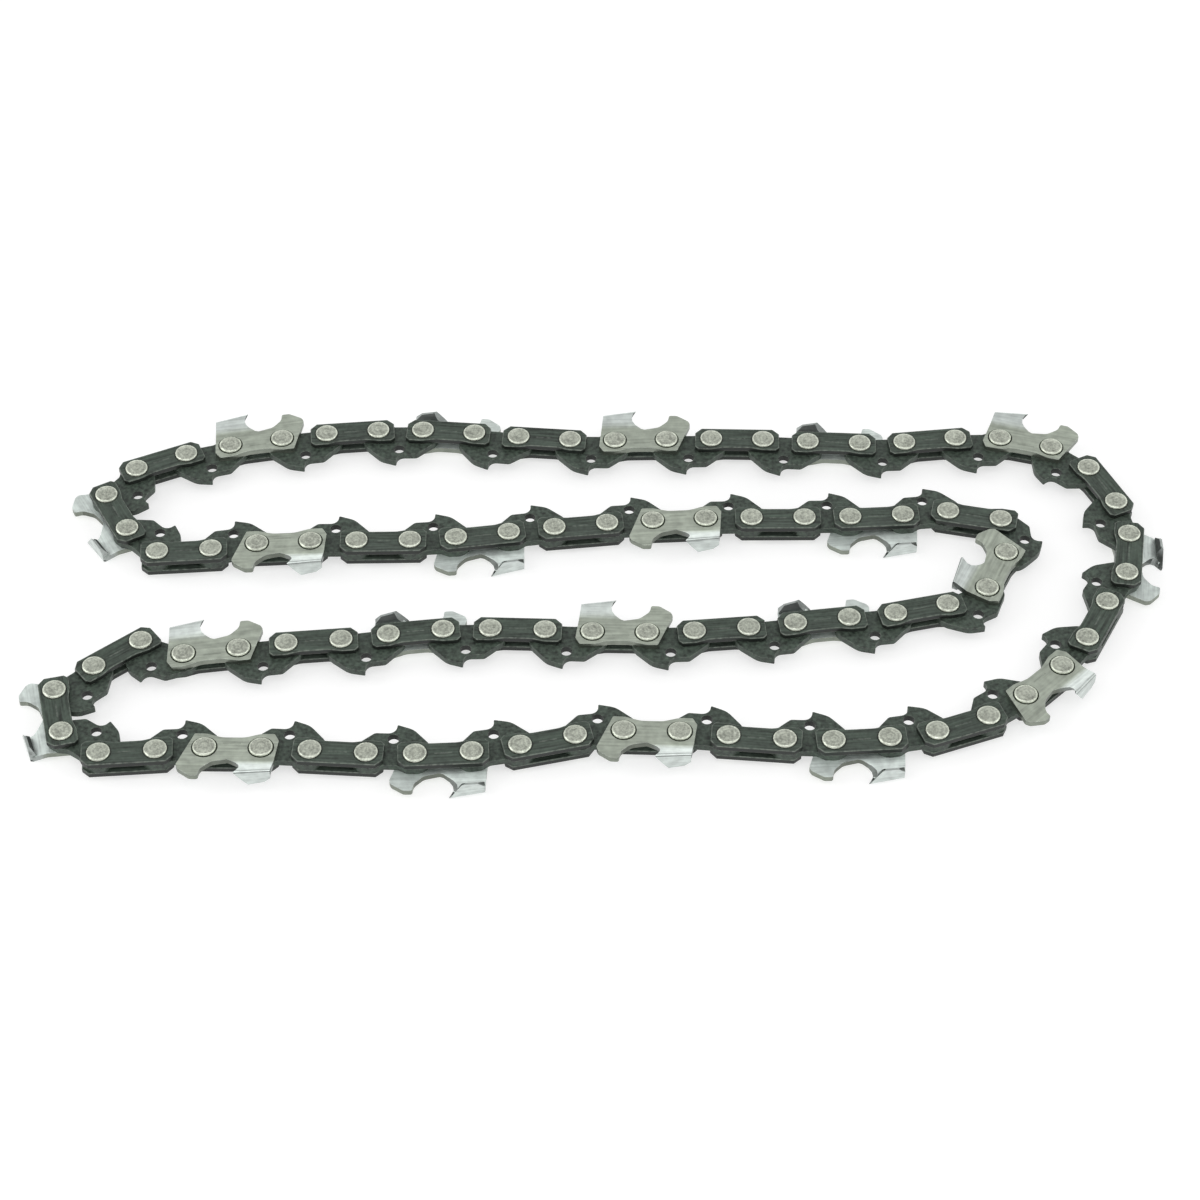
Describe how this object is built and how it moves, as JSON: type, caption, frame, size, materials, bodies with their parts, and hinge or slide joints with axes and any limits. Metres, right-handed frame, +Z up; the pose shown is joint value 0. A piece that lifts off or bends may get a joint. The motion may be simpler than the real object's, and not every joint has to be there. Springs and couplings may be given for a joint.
{
  "type": "chainsaw chain loop",
  "caption": "Closed loop of low-profile saw chain: riveted tie straps, drive links with inner tangs and cutters on alternating sides, lying on its side in a folded lay.",
  "frame": {"origin": "middle of the loop's plan, on the surface that it lies on", "axes": "+X along the long side of the laid-out loop, +Y away from the viewer, +Z up, along every rivet"},
  "size_m": [0.2106, 0.0948, 0.006],
  "materials": {
    "blackened_steel": "black oxide, oiled",
    "bright_steel": "satin chrome, polished at the bend and top plate"
  },
  "bodies": {
    "link_01": {"link_01_tie": "blackened_steel"},
    "link_02": {"link_02_upper_cutter": "bright_steel"},
    "link_03": {"link_03_tie": "blackened_steel"},
    "link_04": {"link_04_lower_cutter": "bright_steel"},
    "link_05": {"link_05_tie": "blackened_steel"},
    "link_06": {"link_06_upper_cutter": "bright_steel"},
    "link_07": {"link_07_tie": "blackened_steel"},
    "link_08": {"link_08_lower_cutter": "bright_steel"},
    "link_09": {"link_09_tie": "blackened_steel"},
    "link_10": {"link_10_upper_cutter": "bright_steel"},
    "link_11": {"link_11_tie": "blackened_steel"},
    "link_12": {"link_12_lower_cutter": "bright_steel"},
    "link_13": {"link_13_tie": "blackened_steel"},
    "link_14": {"link_14_upper_cutter": "bright_steel"},
    "link_15": {"link_15_tie": "blackened_steel"},
    "link_16": {"link_16_lower_cutter": "bright_steel"},
    "link_17": {"link_17_tie": "blackened_steel"},
    "link_18": {"link_18_upper_cutter": "bright_steel"},
    "link_19": {"link_19_tie": "blackened_steel"},
    "link_20": {"link_20_lower_cutter": "bright_steel"},
    "link_21": {"link_21_tie": "blackened_steel"},
    "link_22": {"link_22_upper_cutter": "bright_steel"},
    "link_23": {"link_23_tie": "blackened_steel"},
    "link_24": {"link_24_lower_cutter": "bright_steel"},
    "link_25": {"link_25_tie": "blackened_steel"},
    "link_26": {"link_26_upper_cutter": "bright_steel"},
    "link_27": {"link_27_tie": "blackened_steel"},
    "link_28": {"link_28_lower_cutter": "bright_steel"},
    "link_29": {"link_29_tie": "blackened_steel"},
    "link_30": {"link_30_upper_cutter": "bright_steel"},
    "link_31": {"link_31_tie": "blackened_steel"},
    "link_32": {"link_32_lower_cutter": "bright_steel"},
    "link_33": {"link_33_tie": "blackened_steel"},
    "link_34": {"link_34_upper_cutter": "bright_steel"},
    "link_35": {"link_35_tie": "blackened_steel"},
    "link_36": {"link_36_lower_cutter": "bright_steel"},
    "link_37": {"link_37_tie": "blackened_steel"},
    "link_38": {"link_38_upper_cutter": "bright_steel"},
    "link_39": {"link_39_tie": "blackened_steel"},
    "link_40": {"link_40_lower_cutter": "bright_steel"},
    "link_41": {"link_41_tie": "blackened_steel"},
    "link_42": {"link_42_upper_cutter": "bright_steel"},
    "link_43": {"link_43_tie": "blackened_steel"},
    "link_44": {"link_44_lower_cutter": "bright_steel"}
  },
  "joints": [
    {"name": "pivot_02", "type": "hinge", "parent": "link_02", "child": "link_01", "pos_m": [-0.07186, 0.03665, 0.003], "axis": [0, 0, 1], "range_deg": [-12, 12]},
    {"name": "pivot_03", "type": "hinge", "parent": "link_03", "child": "link_02", "pos_m": [-0.05349, 0.03979, 0.003], "axis": [0, 0, 1], "range_deg": [-12, 12]},
    {"name": "pivot_04", "type": "hinge", "parent": "link_04", "child": "link_03", "pos_m": [-0.0349, 0.04078, 0.003], "axis": [0, 0, 1], "range_deg": [-12, 12]},
    {"name": "pivot_05", "type": "hinge", "parent": "link_05", "child": "link_04", "pos_m": [-0.01634, 0.03898, 0.003], "axis": [0, 0, 1], "range_deg": [-12, 12]},
    {"name": "pivot_06", "type": "hinge", "parent": "link_06", "child": "link_05", "pos_m": [0.00226, 0.03804, 0.003], "axis": [0, 0, 1], "range_deg": [-12, 12]},
    {"name": "pivot_07", "type": "hinge", "parent": "link_07", "child": "link_06", "pos_m": [0.0209, 0.03841, 0.003], "axis": [0, 0, 1], "range_deg": [-12, 12]},
    {"name": "pivot_08", "type": "hinge", "parent": "link_08", "child": "link_07", "pos_m": [0.03952, 0.03762, 0.003], "axis": [0, 0, 1], "range_deg": [-12, 12]},
    {"name": "pivot_09", "type": "hinge", "parent": "link_09", "child": "link_08", "pos_m": [0.05814, 0.03745, 0.003], "axis": [0, 0, 1], "range_deg": [-12, 12]},
    {"name": "pivot_10", "type": "hinge", "parent": "link_10", "child": "link_09", "pos_m": [0.07672, 0.03873, 0.003], "axis": [0, 0, 1], "range_deg": [-12, 12]},
    {"name": "pivot_11", "type": "hinge", "parent": "link_11", "child": "link_10", "pos_m": [0.09296, 0.03055, 0.003], "axis": [0, 0, 1], "range_deg": [-12, 12]},
    {"name": "pivot_12", "type": "hinge", "parent": "link_12", "child": "link_11", "pos_m": [0.09876, 0.01301, 0.003], "axis": [0, 0, 1], "range_deg": [-12, 12]},
    {"name": "pivot_13", "type": "hinge", "parent": "link_13", "child": "link_12", "pos_m": [0.09278, -0.00429, 0.003], "axis": [0, 0, 1], "range_deg": [-12, 12]},
    {"name": "pivot_14", "type": "hinge", "parent": "link_14", "child": "link_13", "pos_m": [0.08289, -0.02, 0.003], "axis": [0, 0, 1], "range_deg": [-12, 12]},
    {"name": "pivot_15", "type": "hinge", "parent": "link_15", "child": "link_14", "pos_m": [0.06861, -0.0319, 0.003], "axis": [0, 0, 1], "range_deg": [-12, 12]},
    {"name": "pivot_16", "type": "hinge", "parent": "link_16", "child": "link_15", "pos_m": [0.05074, -0.03691, 0.003], "axis": [0, 0, 1], "range_deg": [-12, 12]},
    {"name": "pivot_17", "type": "hinge", "parent": "link_17", "child": "link_16", "pos_m": [0.03213, -0.03731, 0.003], "axis": [0, 0, 1], "range_deg": [-12, 12]},
    {"name": "pivot_18", "type": "hinge", "parent": "link_18", "child": "link_17", "pos_m": [0.01357, -0.03559, 0.003], "axis": [0, 0, 1], "range_deg": [-12, 12]},
    {"name": "pivot_19", "type": "hinge", "parent": "link_19", "child": "link_18", "pos_m": [-0.005, -0.03636, 0.003], "axis": [0, 0, 1], "range_deg": [-12, 12]},
    {"name": "pivot_20", "type": "hinge", "parent": "link_20", "child": "link_19", "pos_m": [-0.02324, -0.04016, 0.003], "axis": [0, 0, 1], "range_deg": [-12, 12]},
    {"name": "pivot_21", "type": "hinge", "parent": "link_21", "child": "link_20", "pos_m": [-0.04186, -0.04042, 0.003], "axis": [0, 0, 1], "range_deg": [-12, 12]},
    {"name": "pivot_22", "type": "hinge", "parent": "link_22", "child": "link_21", "pos_m": [-0.06047, -0.03931, 0.003], "axis": [0, 0, 1], "range_deg": [-12, 12]},
    {"name": "pivot_23", "type": "hinge", "parent": "link_22", "child": "link_23", "pos_m": [-0.07909, -0.0397, 0.003], "axis": [0, 0, 1], "range_deg": [-12, 12]},
    {"name": "pivot_24", "type": "hinge", "parent": "link_23", "child": "link_24", "pos_m": [-0.09621, -0.03557, 0.003], "axis": [0, 0, 1], "range_deg": [-12, 12]},
    {"name": "pivot_25", "type": "hinge", "parent": "link_24", "child": "link_25", "pos_m": [-0.09205, -0.02013, 0.003], "axis": [0, 0, 1], "range_deg": [-12, 12]},
    {"name": "pivot_26", "type": "hinge", "parent": "link_25", "child": "link_26", "pos_m": [-0.07616, -0.0171, 0.003], "axis": [0, 0, 1], "range_deg": [-12, 12]},
    {"name": "pivot_27", "type": "hinge", "parent": "link_26", "child": "link_27", "pos_m": [-0.0577, -0.01456, 0.003], "axis": [0, 0, 1], "range_deg": [-12, 12]},
    {"name": "pivot_28", "type": "hinge", "parent": "link_27", "child": "link_28", "pos_m": [-0.0392, -0.01236, 0.003], "axis": [0, 0, 1], "range_deg": [-12, 12]},
    {"name": "pivot_29", "type": "hinge", "parent": "link_28", "child": "link_29", "pos_m": [-0.02063, -0.01097, 0.003], "axis": [0, 0, 1], "range_deg": [-12, 12]},
    {"name": "pivot_30", "type": "hinge", "parent": "link_29", "child": "link_30", "pos_m": [-0.002, -0.01171, 0.003], "axis": [0, 0, 1], "range_deg": [-12, 12]},
    {"name": "pivot_31", "type": "hinge", "parent": "link_30", "child": "link_31", "pos_m": [0.01663, -0.01161, 0.003], "axis": [0, 0, 1], "range_deg": [-12, 12]},
    {"name": "pivot_32", "type": "hinge", "parent": "link_31", "child": "link_32", "pos_m": [0.03515, -0.00956, 0.003], "axis": [0, 0, 1], "range_deg": [-5, 12]},
    {"name": "pivot_33", "type": "hinge", "parent": "link_32", "child": "link_33", "pos_m": [0.05364, -0.00717, 0.003], "axis": [0, 0, 1], "range_deg": [-12, 12]},
    {"name": "pivot_34", "type": "hinge", "parent": "link_33", "child": "link_34", "pos_m": [0.07098, -0.00079, 0.003], "axis": [0, 0, 1], "range_deg": [-12, 12]},
    {"name": "pivot_35", "type": "hinge", "parent": "link_34", "child": "link_35", "pos_m": [0.07498, 0.01687, 0.003], "axis": [0, 0, 1], "range_deg": [-12, 12]},
    {"name": "pivot_36", "type": "hinge", "parent": "link_35", "child": "link_36", "pos_m": [0.05661, 0.01802, 0.003], "axis": [0, 0, 1], "range_deg": [-12, 12]},
    {"name": "pivot_37", "type": "hinge", "parent": "link_36", "child": "link_37", "pos_m": [0.03799, 0.01729, 0.003], "axis": [0, 0, 1], "range_deg": [-12, 12]},
    {"name": "pivot_38", "type": "hinge", "parent": "link_37", "child": "link_38", "pos_m": [0.01935, 0.01707, 0.003], "axis": [0, 0, 1], "range_deg": [-12, 12]},
    {"name": "pivot_39", "type": "hinge", "parent": "link_38", "child": "link_39", "pos_m": [0.00075, 0.01584, 0.003], "axis": [0, 0, 1], "range_deg": [-12, 12]},
    {"name": "pivot_40", "type": "hinge", "parent": "link_39", "child": "link_40", "pos_m": [-0.01774, 0.01348, 0.003], "axis": [0, 0, 1], "range_deg": [-12, 12]},
    {"name": "pivot_41", "type": "hinge", "parent": "link_40", "child": "link_41", "pos_m": [-0.03625, 0.01141, 0.003], "axis": [0, 0, 1], "range_deg": [-12, 12]},
    {"name": "pivot_42", "type": "hinge", "parent": "link_41", "child": "link_42", "pos_m": [-0.05489, 0.01117, 0.003], "axis": [0, 0, 1], "range_deg": [-12, 12]},
    {"name": "pivot_43", "type": "hinge", "parent": "link_42", "child": "link_43", "pos_m": [-0.0734, 0.00917, 0.003], "axis": [0, 0, 1], "range_deg": [-12, 12]},
    {"name": "pivot_44", "type": "hinge", "parent": "link_43", "child": "link_44", "pos_m": [-0.08956, 0.01448, 0.003], "axis": [0, 0, 1], "range_deg": [-12, 12]}
  ],
  "couplings": [
    {"joint": "pivot_23", "follows": "pivot_25", "ratio": 0.571},
    {"joint": "pivot_24", "follows": "pivot_25", "ratio": -0.865},
    {"joint": "pivot_26", "follows": "pivot_25", "ratio": -0.706},
    {"joint": "pivot_27", "follows": "pivot_28", "ratio": -0.539},
    {"joint": "pivot_29", "follows": "pivot_28", "ratio": -0.383},
    {"joint": "pivot_30", "follows": "pivot_28", "ratio": -0.078},
    {"joint": "pivot_31", "follows": "pivot_32", "ratio": -0.825},
    {"joint": "pivot_33", "follows": "pivot_32", "ratio": 0.564},
    {"joint": "pivot_34", "follows": "pivot_32", "ratio": -0.93},
    {"joint": "pivot_35", "follows": "pivot_32", "ratio": 0.192},
    {"joint": "pivot_36", "follows": "pivot_37", "ratio": -0.781},
    {"joint": "pivot_38", "follows": "pivot_37", "ratio": 0.196},
    {"joint": "pivot_39", "follows": "pivot_37", "ratio": -0.27},
    {"joint": "pivot_40", "follows": "pivot_37", "ratio": -0.146},
    {"joint": "pivot_41", "follows": "pivot_42", "ratio": -0.565},
    {"joint": "pivot_43", "follows": "pivot_42", "ratio": -0.282},
    {"joint": "pivot_44", "follows": "pivot_42", "ratio": -0.153},
    {"joint": "pivot_22", "follows": "pivot_19", "ratio": -0.31},
    {"joint": "pivot_21", "follows": "pivot_19", "ratio": 0.032},
    {"joint": "pivot_20", "follows": "pivot_19", "ratio": 0.072},
    {"joint": "pivot_18", "follows": "pivot_19", "ratio": -0.793},
    {"joint": "pivot_17", "follows": "pivot_16", "ratio": -0.412},
    {"joint": "pivot_15", "follows": "pivot_16", "ratio": -0.795},
    {"joint": "pivot_14", "follows": "pivot_16", "ratio": 0.207},
    {"joint": "pivot_13", "follows": "pivot_12", "ratio": -0.431},
    {"joint": "pivot_11", "follows": "pivot_12", "ratio": -0.899},
    {"joint": "pivot_10", "follows": "pivot_12", "ratio": 0.33},
    {"joint": "pivot_09", "follows": "pivot_08", "ratio": -0.8},
    {"joint": "pivot_07", "follows": "pivot_08", "ratio": 0.401},
    {"joint": "pivot_06", "follows": "pivot_08", "ratio": -0.601},
    {"joint": "pivot_05", "follows": "pivot_03", "ratio": -0.051},
    {"joint": "pivot_04", "follows": "pivot_03", "ratio": -0.422},
    {"joint": "pivot_02", "follows": "pivot_03", "ratio": -0.527}
  ]
}
